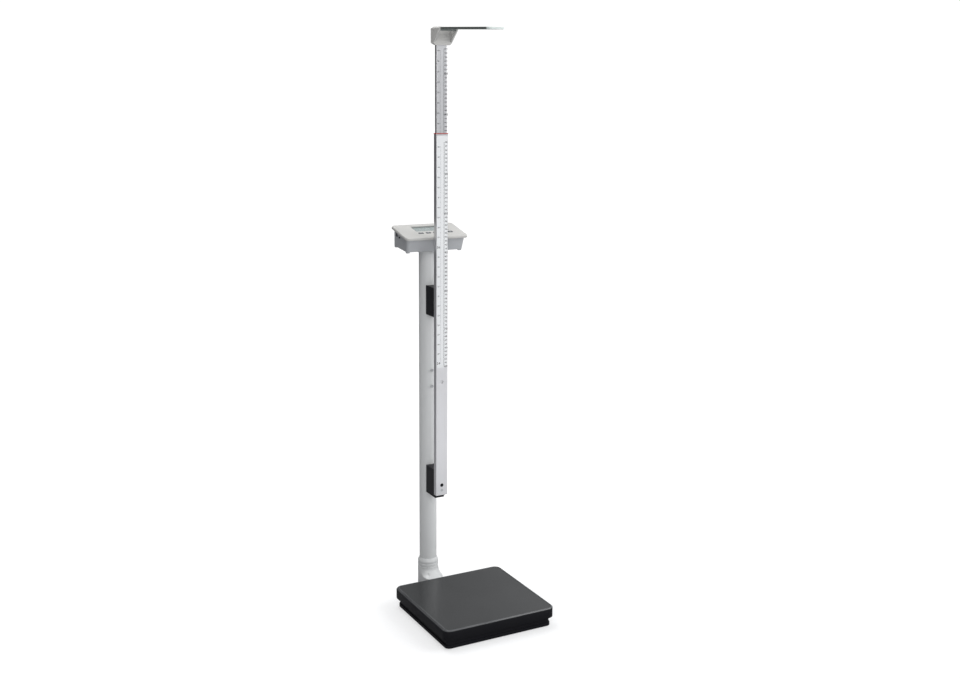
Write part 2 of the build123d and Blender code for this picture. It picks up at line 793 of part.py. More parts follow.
# ---------------------------------------------------------------- headpiece
def headpiece():
    """Plastic head on the inner rod: a block with cut corners and two cheeks for the blade."""
    back = outer_back + head_skin
    panel = outer_front - 2.0
    cut = 6.5
    back_cut, back_rise = 12.0, 7.5
    counterbore = 1.5
    with BuildPart() as head:
        with BuildSketch(Plane.YZ.offset(column_x - head_width / 2)):
            with BuildLine():
                Polyline(
                    (back - back_cut, head_bottom),
                    (back, head_bottom + back_rise),
                    (back, head_top - back_rise),
                    (back - back_cut, head_top),
                    (head_front, head_top),
                    (head_front, head_top - 9),
                    (panel, head_bottom + cut),
                    (panel, head_bottom),
                    close=True,
                )
            make_face()
        extrude(amount=head_width)
        chamfer(head.faces().sort_by(Axis.Z)[0].edges().filter_by(Axis.Y), cut - 1)
        chamfer(head.faces().sort_by(Axis.Z)[-1].edges().filter_by(Axis.Y), cut - 2)
        chamfer(head.faces().sort_by(Axis.Y)[-1].edges().filter_by(Axis.Z), cut - 2)
        with BuildSketch(Plane.XY.offset(head_bottom)):
            with Locations((column_x, (head_front + panel) / 2 - 1)):
                Rectangle(fork_width, panel - head_front + 2)
        extrude(amount=head_height, mode=Mode.SUBTRACT)
        with BuildSketch(Plane.XY.offset(head_bottom)):
            with Locations((column_x, outer_middle)):
                RectangleRounded(inner_width + 2 * seat, inner_depth + 2 * seat, rod_corner)
        extrude(amount=socket_top - head_bottom, mode=Mode.SUBTRACT)
        with BuildSketch(Plane.YZ.offset(column_x - head_width)):
            with Locations((hinge_y, hinge_z)):
                Circle(pin_radius)
        extrude(amount=2 * head_width, mode=Mode.SUBTRACT)
        with BuildSketch(facing_back(head_screw_z, back)):
            Circle(head_screw_head + seat)
        extrude(amount=-counterbore, mode=Mode.SUBTRACT)
        with BuildSketch(facing_back(head_screw_z, back)):
            Circle(head_screw_radius + running)
        extrude(amount=-7, mode=Mode.SUBTRACT)
    save(head.part, "headpiece")


def headpiece_screw():
    """Screw from behind that stops the headpiece coming off the inner rod."""
    face = facing_back(head_screw_z, outer_back + head_skin - 0.2)
    save(screw(face, head_screw_head, 1.3, head_screw_radius, head_skin + 3.0, socket=0.8), "headpiece_screw")


def blade_plane():
    """Plane of the blade's top face: through the hinge, drooping slightly to the front."""
    lean = radians(blade_droop)
    top = Plane(origin=(column_x, hinge_y, hinge_z), x_dir=(1, 0, 0), z_dir=(0, -sin(lean), cos(lean)))
    return tilted(top, drop=-(knuckle_radius - 0.2))


def blade():
    """Flat blade on a knuckle, swung forward over the platform."""
    knuckle_width = fork_width - 2 * washer_thickness - 2 * running
    body_length = blade_length - blade_tip_length - neck_length
    with BuildPart() as flat:
        with BuildSketch(Plane.YZ.offset(column_x - knuckle_width / 2)):
            with Locations((hinge_y, hinge_z)):
                Circle(knuckle_radius)
        extrude(amount=knuckle_width)
        with BuildSketch(blade_plane()):
            with Locations((0, -neck_length / 2)):
                Rectangle(knuckle_width, neck_length)
            with Locations((0, -neck_length - body_length / 2)):
                Rectangle(blade_width, body_length)
        extrude(amount=-blade_thickness)
        with BuildSketch(Plane.YZ.offset(column_x - knuckle_width)):
            with Locations((hinge_y, hinge_z)):
                Circle(pin_radius + running)
        extrude(amount=2 * knuckle_width, mode=Mode.SUBTRACT)
    save(flat.part, "blade")


def blade_tip():
    """Light end piece on the blade, rounded at its free corners."""
    with BuildPart() as tip:
        with BuildSketch(blade_plane()):
            with Locations((0, blade_tip_length / 2 - blade_length)):
                Rectangle(blade_width, blade_tip_length)
        extrude(amount=-blade_thickness)
        fillet(tip.edges().filter_by(lambda e: abs(e.tangent_at(0).Z) > 0.9).group_by(Axis.Y)[0], 9.0)
    save(tip.part, "blade_tip")


def blade_pin():
    """Steel pin across the headpiece's fork, which the blade swings on."""
    with BuildPart() as pin:
        with BuildSketch(Plane.YZ.offset(column_x - head_width / 2 + 0.5)):
            with Locations((hinge_y, hinge_z)):
                Circle(pin_radius)
        extrude(amount=head_width - 1.0)
    save(pin.part, "blade_pin")


def blade_washers():
    """Two friction washers, one at each side of the blade's knuckle."""
    with BuildPart() as washers:
        for side in (-1, 1):
            face = column_x + side * fork_width / 2
            with BuildSketch(Plane.YZ.offset(face)):
                with Locations((hinge_y, hinge_z)):
                    Circle(knuckle_radius - 0.3)
                    Circle(pin_radius + running, mode=Mode.SUBTRACT)
            extrude(amount=-side * washer_thickness)
    save(washers.part, "blade_washers")


# ---------------------------------------------------------------- indicator
def indicator_lid():
    """Top shell with a rolled lip, the display's opening, key holes and screw posts."""
    with BuildPart() as lid:
        with BuildSketch(lid_plane):
            RectangleRounded(lid_width, lid_length, lid_corner)
        extrude(amount=-lid_thickness)
        fillet(lid.faces().filter_by(lid_plane).sort_by(Axis.Z)[-1].edges(), 3.0)
        fillet(lid.faces().filter_by(lid_plane).sort_by(Axis.Z)[0].edges(), 2.0)
        with BuildSketch(tilted(lid_plane, drop=lid_skin)):
            RectangleRounded(lid_width - 2 * lid_rim, lid_length - 2 * lid_rim, housing_corner)
        extrude(amount=lid_skin - lid_thickness, mode=Mode.SUBTRACT)
        with BuildSketch(lid_plane):
            with Locations((window_shift, window_middle)):
                RectangleRounded(window_width, window_length, 2)
            with Locations(*[(x, key_row) for x in key_places]):
                RectangleRounded(key_width + 2 * slip, key_length + 2 * slip, 2.2)
        extrude(amount=-lid_skin, mode=Mode.SUBTRACT)
        with BuildSketch(tilted(lid_plane, drop=lid_skin)):
            with Locations(*post_places):
                Circle(2.4)
        extrude(amount=lid_skin - board_drop)
        with BuildSketch(tilted(lid_plane, drop=lid_skin)):
            with Locations(*corner_places):
                Circle(corner_post_radius)
        extrude(amount=lid_skin - corner_post_drop)
        with BuildSketch(tilted(lid_plane, drop=board_drop)):
            with Locations(*post_places):
                Circle(board_screw_radius + running)
        extrude(amount=5, mode=Mode.SUBTRACT)
        with BuildSketch(tilted(lid_plane, drop=corner_post_drop)):
            with Locations(*corner_places):
                Circle(corner_screw_radius + running)
        extrude(amount=10, mode=Mode.SUBTRACT)
    save(lid.part, "indicator_lid")


def indicator_housing():
    """Wedge-shaped lower shell with tapered walls, corner feet and openings at its left."""
    top = tilted(lid_plane, drop=lid_skin + seat)
    width = lid_width - 2 * lid_rim - 2 * seat
    length = lid_length - 2 * lid_rim - 2 * seat
    depth = 70.0
    inner_corner = housing_corner - housing_wall
    inner_floor = tilted(floor_plane, drop=-housing_wall)
    with BuildPart(mode=Mode.PRIVATE) as hollow:
        with BuildSketch(top):
            RectangleRounded(width - 2 * housing_wall, length - 2 * housing_wall, inner_corner)
        extrude(amount=-depth, taper=wall_taper)
        split(bisect_by=inner_floor, keep=Keep.TOP)
    with BuildPart(mode=Mode.PRIVATE) as outline:
        with BuildSketch(top):
            RectangleRounded(width, length, housing_corner)
        extrude(amount=-depth, taper=wall_taper)
    with BuildPart() as housing:
        add(outline.part)
        split(bisect_by=floor_plane, keep=Keep.TOP)
        add(hollow.part, mode=Mode.SUBTRACT)
        with BuildSketch(tilted(lid_plane, drop=corner_post_drop + seat)):
            with Locations(*corner_places):
                Circle(corner_post_radius)
        extrude(amount=-depth)
        split(bisect_by=floor_plane, keep=Keep.TOP)
        with BuildSketch(tilted(lid_plane, drop=corner_post_drop + seat)):
            with Locations(*corner_places):
                Circle(corner_screw_radius + seat)
        extrude(amount=-depth, mode=Mode.SUBTRACT)
        with BuildSketch(tilted(lid_plane, drop=corner_post_drop + 4)):
            with Locations(*corner_places):
                Circle(2.9)
        extrude(amount=-depth, mode=Mode.SUBTRACT)
        with BuildSketch(tilted(floor_plane, 0, lid_length / 2 + housing_lean, 0)):
            with GridLocations(corner_foot_x, corner_foot_y, 2, 2):
                RectangleRounded(corner_foot, corner_foot, 2)
        extrude(amount=-3.5)
        with BuildSketch(head_face(up=housing_wall + 1)):
            Circle(cable_hole + 1)
            with PolarLocations(head_screw_circle, 4, start_angle=45):
                Circle(head_screw_radius + seat)
        extrude(amount=-housing_wall - 2, mode=Mode.SUBTRACT)
        with BuildSketch(jack_plane()):
            Circle(jack_nose + seat)
            with Locations((port_shift, port_rise)):
                Rectangle(port_width + 2 * seat, port_height + 2 * seat)
        extrude(amount=-30, mode=Mode.SUBTRACT)
    save(housing.part, "indicator_housing")


def jack_plane():
    """Plane outside the housing's left wall, its normal to the left, its X to the front."""
    return Plane(origin=(column_x - lid_width / 2, jack_y, jack_z), x_dir=(0, -1, 0), z_dir=(-1, 0, 0))


def housing_wall_inset(drop):
    """How far in from the lid's edge the housing's inner face lies, a given drop below the lid."""
    return lid_rim + seat + (drop - lid_skin - seat) * tan(radians(wall_taper)) + housing_wall


def jack_depth():
    """Distance from the lid's side to the flat seats of the sockets on the left wall."""
    return housing_wall_inset(26.0)


def dc_jack():
    """Round power socket on the left wall, with its centre pin."""
    inset = jack_depth()
    seat_plane = tilted(jack_plane(), drop=inset)
    with BuildPart() as jack:
        with BuildSketch(seat_plane):
            Rectangle(10, 11)
        extrude(amount=-13)
        with BuildSketch(seat_plane):
            Circle(jack_nose)
        extrude(amount=inset - lid_rim - 1.2)
        with BuildSketch(jack_plane()):
            Circle(jack_bore)
            Circle(1.0, mode=Mode.SUBTRACT)
        extrude(amount=-inset - 9.0, mode=Mode.SUBTRACT)
        with BuildSketch(jack_plane()):
            Circle(jack_bore)
        extrude(amount=-lid_rim - 2.5, mode=Mode.SUBTRACT)
    save(jack.part, "dc_jack")


def data_port():
    """Small flat data socket in front of the power socket."""
    inset = jack_depth()
    outer = tilted(jack_plane(), port_shift, port_rise, lid_rim + 1.6)
    with BuildPart() as port:
        with BuildSketch(outer):
            Rectangle(port_width, port_height)
        extrude(amount=-(inset - lid_rim) - 7.0)
        with BuildSketch(outer):
            Rectangle(port_width - 1.4, port_height - 1.4)
        extrude(amount=-6.0, mode=Mode.SUBTRACT)
    save(port.part, "data_port")


def display_parts():
    """Clear window under the lid's opening, with the liquid-crystal panel behind it."""
    with BuildPart() as window:
        with BuildSketch(tilted(lid_plane, window_shift, window_middle, lid_skin)):
            Rectangle(window_width + 3, window_length + 3)
        extrude(amount=-1.5)
    save(window.part, "display_window")
    with BuildPart() as panel:
        with BuildSketch(tilted(lid_plane, window_shift, window_middle, lid_skin + 1.5 + seat)):
            Rectangle(window_width + 2, window_length + 2)
        extrude(amount=-3.0)
        with BuildSketch(tilted(lid_plane, window_shift, window_middle, lid_skin + 4.5 + seat)):
            with GridLocations(window_width - 6, window_length - 4, 2, 2):
                Rectangle(3, 3)
        extrude(amount=lid_skin + 4.5 + seat - board_drop)
    save(panel.part, "lcd_panel")


def key(x, name):
    """One push key: cap through the lid, retaining flange and a stem over its switch."""
    place = tilted(lid_plane, x, key_row, -0.8)
    flange_drop = lid_skin + 0.1
    with BuildPart() as button:
        with BuildSketch(place):
            RectangleRounded(key_width, key_length, 1.9)
        extrude(amount=-flange_drop - 0.8)
        fillet(button.faces().filter_by(lid_plane).sort_by(Axis.Z)[-1].edges(), 0.5)
        with BuildSketch(tilted(lid_plane, x, key_row, flange_drop)):
            RectangleRounded(key_width + 2.6, key_length + 2.6, 1.5)
        extrude(amount=-1.0)
        with BuildSketch(tilted(lid_plane, x, key_row, flange_drop + 1.0)):
            Circle(2.2)
        extrude(amount=-(switch_top_drop - key_travel - slip - flange_drop - 1.0))
    save(button.part, name)


def keys():
    """The row of five keys in front of the display."""
    for x, name in zip(key_places, key_names):
        key(x, name)


def main_board():
    """Printed board on the lid's posts, with a processor, connector and its screw holes."""
    with BuildPart() as board:
        with BuildSketch(tilted(lid_plane, drop=board_drop)):
            Rectangle(board_width, board_length)
            with Locations(*post_places):
                Circle(board_screw_radius + seat, mode=Mode.SUBTRACT)
        extrude(amount=-board_thickness)
        with BuildSketch(tilted(lid_plane, drop=board_drop + board_thickness)):
            with Locations((-20, 10)):
                Rectangle(14, 14)
            with Locations((30, 12)):
                Rectangle(22, 8)
        extrude(amount=-3)
    save(board.part, "main_board")


def key_switches():
    """Five small push switches on the board, one under each key's stem."""
    with BuildPart() as switches:
        with BuildSketch(tilted(lid_plane, drop=switch_top_drop)):
            with Locations(*[(x, key_row) for x in key_places]):
                Rectangle(6, 6)
        extrude(amount=switch_top_drop - board_drop)
    save(switches.part, "key_switches")


def indicator_screws():
    """Screws that hold the board to the lid, and the longer ones that close the housing."""
    board = [
        screw(tilted(flipped(lid_plane), x, -y, -board_drop - board_thickness - 1.4), 2.3, 1.4,
              board_screw_radius, board_thickness + 1.4 + 4, socket=0.7)
        for x, y in post_places
    ]
    save(Compound(children=board), "board_screws")
    closing = [
        screw(tilted(flipped(lid_plane), x, -y, -corner_post_drop - 4 - 1.6), 2.7, 1.6,
              corner_screw_radius, 1.6 + 4 + 8, socket=0.8)
        for x, y in corner_places
    ]
    save(Compound(children=closing), "housing_screws")


def flipped(plane):
    """The same plane seen from below: X kept, normal reversed."""
    return Plane(origin=plane.origin, x_dir=plane.x_dir, z_dir=-plane.z_dir)


platform_cover()
platform_frame()
load_pads()
load_cells()
load_cell_bolts()
base_tray()
rubber_feet()
junction_board()
column_foot()
foot_bolts()
clamp_screw()
column_tube()
spare_screws()
column_head()
head_screws()
brackets()
bracket_screws()
outer_rod()
rod_screws()
rod_bottom_plug()
plug_rivet()
index_collar()
inner_rod()
glide_shoe()
brake_spring()
headpiece()
headpiece_screw()
blade()
blade_tip()
blade_pin()
blade_washers()
indicator_lid()
indicator_housing()
dc_jack()
data_port()
display_parts()
keys()
main_board()
key_switches()
indicator_screws()
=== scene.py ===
"""Looks of the column scale: finishes, printed scales, refined surfaces, studio and camera."""
import json
from math import cos, radians, sin
import bmesh
import bpy
import numpy as np
from mathutils import Matrix, Vector


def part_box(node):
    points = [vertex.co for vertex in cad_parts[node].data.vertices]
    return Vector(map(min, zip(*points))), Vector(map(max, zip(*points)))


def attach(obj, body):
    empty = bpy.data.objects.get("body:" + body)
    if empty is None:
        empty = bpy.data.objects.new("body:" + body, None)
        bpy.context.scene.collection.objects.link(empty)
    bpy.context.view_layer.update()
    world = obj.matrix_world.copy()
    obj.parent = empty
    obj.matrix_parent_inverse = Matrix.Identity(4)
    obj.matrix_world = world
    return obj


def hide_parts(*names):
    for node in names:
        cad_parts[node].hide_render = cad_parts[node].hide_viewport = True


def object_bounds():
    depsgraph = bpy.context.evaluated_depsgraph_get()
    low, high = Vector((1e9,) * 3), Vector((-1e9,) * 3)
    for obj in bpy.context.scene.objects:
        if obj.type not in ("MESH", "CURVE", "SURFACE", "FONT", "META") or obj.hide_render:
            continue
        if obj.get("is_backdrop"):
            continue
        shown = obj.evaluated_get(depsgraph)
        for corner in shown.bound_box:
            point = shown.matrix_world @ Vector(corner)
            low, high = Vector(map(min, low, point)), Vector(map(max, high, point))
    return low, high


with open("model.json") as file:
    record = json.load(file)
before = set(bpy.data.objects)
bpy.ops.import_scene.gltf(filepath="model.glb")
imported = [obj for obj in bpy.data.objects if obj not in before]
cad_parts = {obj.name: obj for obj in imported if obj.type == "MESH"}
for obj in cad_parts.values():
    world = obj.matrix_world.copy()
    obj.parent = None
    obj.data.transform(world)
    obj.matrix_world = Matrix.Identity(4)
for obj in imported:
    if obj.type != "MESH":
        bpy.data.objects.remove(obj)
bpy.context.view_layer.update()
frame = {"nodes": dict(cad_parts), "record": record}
MM = 0.001


# ---------------------------------------------------------------- shader expressions
class Value:
    """A number that varies over a surface: Python's operators on it add Math nodes."""

    def __init__(self, finish, socket):
        self.finish, self.socket = finish, socket

    def _math(self, operation, first, second=0.0):
        return self.finish.node("ShaderNodeMath", {"operation": operation}, {0: first, 1: second})

    def __add__(self, other):
        return self._math("ADD", self, other)

    def __sub__(self, other):
        return self._math("SUBTRACT", self, other)

    def __rsub__(self, other):
        return self._math("SUBTRACT", other, self)

    def __mul__(self, other):
        return self._math("MULTIPLY", self, other)

    __radd__, __rmul__ = __add__, __mul__


class Graph:
    """A node tree that grows by naming what feeds each node's sockets."""

    def __init__(self, tree):
        self.tree = tree

    def node(self, kind, settings, inputs, output=0):
        """Add a node: its settings first, then the value or link of each named socket."""
        made = self.tree.nodes.new(kind)
        for name, setting in settings.items():
            setattr(made, name, setting)
        for name, given in inputs.items():
            if isinstance(given, Value):
                self.tree.links.new(given.socket, made.inputs[name])
            else:
                made.inputs[name].default_value = given
        return Value(self, made.outputs[output]) if made.outputs else None

    def split(self, vector, axis):
        """One part of a vector: 0 for X, 1 for Y, 2 for Z."""
        return self.node("ShaderNodeSeparateXYZ", {}, {0: vector}, axis)

    def length(self, vector):
        """A vector's length."""
        return self.node("ShaderNodeVectorMath", {"operation": "LENGTH"}, {0: vector}, "Value")

    def dot(self, vector, direction):
        """How far a vector reaches along a direction."""
        settings = {"operation": "DOT_PRODUCT"}
        return self.node("ShaderNodeVectorMath", settings, {0: vector, 1: direction}, "Value")

    def ramp(self, value, low, high):
        """0 below low, 1 above high, with a smooth step between them."""
        settings = {"interpolation_type": "SMOOTHSTEP"}
        return self.node("ShaderNodeMapRange", settings, {"Value": value, "From Min": low, "From Max": high})


class Finish(Graph):
    """A material with one Principled shader, built by naming what feeds each socket."""

    def __init__(self, name, **constants):
        self.material = bpy.data.materials.new(name)
        self.material.use_nodes = True
        super().__init__(self.material.node_tree)
        self.shader = self.tree.nodes["Principled BSDF"]
        for socket, number in constants.items():
            self.shader.inputs[socket.replace("_", " ")].default_value = number
        self.place = self.node("ShaderNodeTexCoord", {}, {}, "Object")

    def feed(self, socket, value):
        """Link a value to one of the shader's own sockets."""
        self.tree.links.new(value.socket, self.shader.inputs[socket])

    def stretched(self, x, y, z):
        """Object coordinates scaled along each axis, for streaks and brushing."""
        return self.node("ShaderNodeMapping", {}, {"Vector": self.place, "Scale": (x, y, z)})

    def noise(self, scale, detail=2.0, place=None, roughness=0.5):
        """Soft cloudy noise from 0 to 1, about one blotch per 1/scale metres."""
        settings = {"Vector": place or self.place, "Scale": scale, "Detail": detail, "Roughness": roughness}
        return self.node("ShaderNodeTexNoise", {}, settings)

    def cells(self, scale, place=None):
        """Distance to the nearest of scattered points: small pits or grains."""
        return self.node("ShaderNodeTexVoronoi", {}, {"Vector": place or self.place, "Scale": scale})

    def between(self, share, dark, light):
        """A colour that runs from dark to light with the given share."""
        settings = {"data_type": "RGBA"}
        colours = {0: share, 6: (*dark, 1.0), 7: (*light, 1.0)}
        return self.node("ShaderNodeMix", settings, colours, 2)

    def mixed(self, share, first, second):
        """One colour giving way to another as share goes from 0 to 1."""
        return self.node("ShaderNodeMix", {"data_type": "RGBA"}, {0: share, 6: first, 7: second}, 2)

    def bump(self, height, distance, strength=1.0):
        """Turn a height into a surface normal; distance is the relief in metres."""
        values = {"Height": height, "Distance": distance, "Strength": strength}
        self.feed("Normal", self.node("ShaderNodeBump", {}, values))


def moulded(name, dark, light, roughness, grain=1300.0, relief=0.00006, **constants):
    """Grained moulded plastic: fine pits, slow colour drift and slightly uneven gloss."""
    finish = Finish(name, **constants)
    drift = finish.noise(9.0, 3.0)
    pits = finish.cells(grain)
    finish.feed("Base Color", finish.between(drift * 0.7 + pits * 0.3, dark, light))
    finish.feed("Roughness", finish.noise(45.0, 4.0) * 0.12 + (roughness - 0.06))
    finish.bump(pits + finish.noise(grain * 0.6, 1.0) * 0.5, relief)
    return finish.material


def painted(name, dark, light, roughness, relief=0.00005, **constants):
    """Powder coat: a faint orange-peel ripple under an even, slightly dusty colour."""
    finish = Finish(name, **constants)
    drift = finish.noise(6.0, 4.0)
    peel = finish.noise(420.0, 2.0)
    finish.feed("Base Color", finish.between(drift * 0.75 + peel * 0.25, dark, light))
    finish.feed("Roughness", finish.noise(30.0, 3.0) * 0.14 + (roughness - 0.07))
    finish.bump(peel, relief)
    return finish.material


def drawn_metal(name, dark, light, roughness, along="z", metallic=0.85, relief=0.00002):
    """Extruded, anodised metal: long fine lines along the draw, and a few faint scuffs."""
    finish = Finish(name, Metallic=metallic)
    fine, coarse = 2600.0, 14.0
    scale = {"x": (coarse, fine, fine), "y": (fine, coarse, fine), "z": (fine, fine, coarse)}[along]
    lines = finish.noise(1.0, 3.0, finish.stretched(*scale))
    drift = finish.noise(11.0, 3.0)
    finish.feed("Base Color", finish.between(lines * 0.5 + drift * 0.5, dark, light))
    finish.feed("Roughness", lines * 0.16 + drift * 0.1 + (roughness - 0.13))
    finish.bump(lines, relief)
    return finish.material


def turned_steel(name, dark=(0.42, 0.43, 0.44), light=(0.62, 0.63, 0.64)):
    """Zinc-plated steel: mottled crystals, a little duller where it has been handled."""
    finish = Finish(name, Metallic=1.0)
    spangle = finish.cells(700.0)
    wear = finish.noise(60.0, 4.0)
    finish.feed("Base Color", finish.between(spangle * 0.5 + wear * 0.5, dark, light))
    finish.feed("Roughness", wear * 0.25 + 0.22)
    finish.bump(spangle, 0.00002)
    return finish.material


def platform_skin(name):
    """Grained black plastic, dull at its sides and rubbed to a satin sheen on its top; its top is painted a
    lighter black than its sides, as lit from above, and a painted highlight runs along the rim's upper edge.
    """
    finish = Finish(name, Specular_IOR_Level=0.2, Coat_Roughness=0.22)
    pits = finish.cells(900.0)
    fine = finish.noise(1500.0, 2.0)
    drift = finish.noise(5.0, 3.0)
    rubbed = finish.noise(14.0, 5.0)
    up = finish.split(finish.node("ShaderNodeNewGeometry", {}, {}, "Normal"), 2)
    top = finish.ramp(up, 0.4, 0.95)
    side = finish.between(drift * 0.6 + pits * 0.4, (0.003, 0.003, 0.0045), (0.007, 0.007, 0.0095))
    # painted light: the top's colour is lighter than the sides', standing in for light falling from above;
    # the rubbed mottling in it is wear
    painted_lit_top = finish.between(drift * 0.5 + rubbed * 0.5, (0.008, 0.0085, 0.0095), (0.018, 0.019, 0.0205))
    # painted highlight: the rim's eased upper edge gets a lighter colour, standing in for the light that edge
    # catches
    rim = finish.ramp(up, 0.45, 0.75) * (1.0 - finish.ramp(up, 0.93, 0.995))
    painted_rim_highlight = finish.between(rubbed, (0.05, 0.052, 0.056), (0.13, 0.133, 0.138))
    finish.feed("Base Color", finish.mixed(rim, finish.mixed(top, side, painted_lit_top), painted_rim_highlight))
    finish.feed("Roughness", rubbed * 0.10 + pits * 0.05 + 0.40)
    finish.feed("Coat Weight", top * (rubbed * 0.25 + 0.75))
    finish.bump(pits * 0.6 + fine * 0.4, 0.00004)
    return finish.material


def rod_metal(name):
    """Drawn, anodised rod: bright rounded edges and long soft streaks down its faces."""
    finish = Finish(name, Metallic=0.93)
    lines = finish.noise(1.0, 3.0, finish.stretched(2600.0, 2600.0, 10.0))
    streaks = finish.noise(1.0, 2.0, finish.stretched(260.0, 260.0, 1.6))
    drift = finish.noise(9.0, 3.0)
    shade = lines * 0.35 + streaks * 0.4 + drift * 0.25
    finish.feed("Base Color", finish.between(shade, (0.64, 0.64, 0.655), (0.78, 0.78, 0.795)))
    finish.feed("Roughness", lines * 0.12 + streaks * 0.08 + 0.20)
    finish.bump(lines, 0.00002)
    return finish.material


def pearl_paint(name):
    """Light grey baked paint on the column: faint orange peel, slow vertical drift."""
    finish = Finish(name, Coat_Weight=0.15, Coat_Roughness=0.2)
    peel = finish.noise(380.0, 2.0)
    drift = finish.noise(1.0, 3.0, finish.stretched(9.0, 9.0, 2.2))
    scuffs = finish.noise(70.0, 6.0, None, 0.7)
    shade = drift * 0.6 + peel * 0.15 + scuffs * 0.25
    finish.feed("Base Color", finish.between(shade, (0.60, 0.61, 0.61), (0.69, 0.70, 0.70)))
    finish.feed("Roughness", scuffs * 0.14 + 0.30)
    finish.bump(peel, 0.00005)
    return finish.material


DULL = {"Specular_IOR_Level": 0.15}
FINISHES = {
    "black_textured_plastic": platform_skin,
    "zinc_steel": turned_steel,
    "rubber_black": lambda n: moulded(n, (0.012, 0.012, 0.012), (0.024, 0.024, 0.024), 0.8, 500.0),
    "cell_aluminium": lambda n: drawn_metal(n, (0.6, 0.61, 0.62), (0.78, 0.79, 0.8), 0.35, "x"),
    "black_powder_coat": lambda n: painted(n, (0.007, 0.007, 0.009), (0.014, 0.014, 0.018), 0.4, **DULL),
    "board_green": lambda n: painted(n, (0.01, 0.09, 0.04), (0.02, 0.16, 0.07), 0.3),
    "grey_paint": pearl_paint,
    "black_plastic": lambda n: moulded(
        n, (0.004, 0.004, 0.006), (0.009, 0.009, 0.013), 0.4, 1800.0, 0.00003, **DULL),
    "anodised_aluminium": rod_metal,
    "index_red": lambda n: moulded(n, (0.34, 0.022, 0.018), (0.44, 0.035, 0.028), 0.4, 1500.0, 0.00002),
    "white_nylon": lambda n: moulded(n, (0.75, 0.75, 0.72), (0.85, 0.85, 0.82), 0.45),
    "light_grey_plastic": lambda n: moulded(
        n, (0.44, 0.435, 0.42), (0.53, 0.525, 0.51), 0.5, 1100.0, 0.00008),
    "mid_grey_plastic": lambda n: moulded(n, (0.34, 0.35, 0.365), (0.42, 0.43, 0.445), 0.5, 1100.0, 0.00008),
    "blade_grey": lambda n: drawn_metal(n, (0.11, 0.125, 0.12), (0.17, 0.19, 0.18), 0.35, "y", 0.3),
    "clear_tip": lambda n: moulded(n, (0.62, 0.68, 0.66), (0.72, 0.78, 0.76), 0.2, 900.0, 0.00002),
    "window_clear": lambda n: moulded(
        n, (0.50, 0.56, 0.55), (0.58, 0.64, 0.63), 0.1, 900.0, 0.00001, Alpha=0.2),
    "lcd_grey_green": lambda n: moulded(n, (0.25, 0.28, 0.285), (0.30, 0.335, 0.34), 0.35, 900.0, 0.00001),
    "key_dark": lambda n: moulded(n, (0.045, 0.05, 0.06), (0.075, 0.082, 0.095), 0.5),
}
slots = {part["node"]: part["material_slot"] for part in frame["record"]["subparts"]}
bodies = {node: body for body, nodes in frame["record"]["behaviour"]["bodies"].items() for node in nodes}
materials = {name: make(name) for name, make in FINISHES.items()}
for node, thing in frame["nodes"].items():
    thing.data.materials.clear()
    thing.data.materials.append(materials[slots[node]])


# ---------------------------------------------------------------- mesh helpers
def add_mesh(name, points, faces, material, body, smooth=False):
    """Make a mesh object from whole arrays, give it its finish and fix it to a body."""
    mesh = bpy.data.meshes.new(name)
    mesh.from_pydata([tuple(p) for p in np.asarray(points, float)], [], [list(map(int, f)) for f in faces])
    mesh.materials.append(material)
    mesh.polygons.foreach_set("use_smooth", [smooth] * len(mesh.polygons))
    thing = bpy.data.objects.new(name, mesh)
    bpy.context.collection.objects.link(thing)
    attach(thing, body)
    return thing


def eased(node, width, segments=2, angle=28.0):
    """A copy of a CAD node with its edges rounded over, as moulding, casting or sanding leaves them."""
    source = frame["nodes"][node].data
    work = bmesh.new()
    work.from_mesh(source)
    bmesh.ops.remove_doubles(work, verts=work.verts, dist=2e-6)
    bmesh.ops.dissolve_degenerate(work, edges=work.edges, dist=1e-6)
    bmesh.ops.dissolve_limit(work, angle_limit=radians(0.6), verts=work.verts, edges=work.edges)
    mesh = bpy.data.meshes.new(node + "_eased")
    work.to_mesh(mesh)
    work.free()
    mesh.materials.clear()
    mesh.materials.append(materials[slots[node]])
    mesh.polygons.foreach_set("use_smooth", [True] * len(mesh.polygons))
    thing = bpy.data.objects.new(node + "_eased", mesh)
    bpy.context.collection.objects.link(thing)
    bevel = thing.modifiers.new("rounded edges", "BEVEL")
    bevel.width, bevel.segments = width, segments
    bevel.limit_method, bevel.angle_limit = "ANGLE", radians(angle)
    bevel.harden_normals = True
    bevel.use_clamp_overlap = True
    mesh.set_sharp_from_angle(angle=radians(angle))
    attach(thing, bodies[node])
    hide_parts(node)
    return thing


def rounded_outline(width, depth, radius, steps=10):
    """Points of a rounded rectangle and its outward directions, walked once round.

    Each corner is an arc of the given radius about the corner's own centre."""
    turns = np.linspace(0.0, np.pi / 2, steps + 1)
    points, outward = [], []
    for quarter, (sx, sy) in enumerate(((1, 1), (-1, 1), (-1, -1), (1, -1))):
        angles = turns + quarter * np.pi / 2
        away = np.stack([np.cos(angles), np.sin(angles)], axis=1)
        centre = np.array([sx * (width / 2 - radius), sy * (depth / 2 - radius)])
        points.append(centre + radius * away)
        outward.append(away)
    return np.vstack(points), np.vstack(outward)


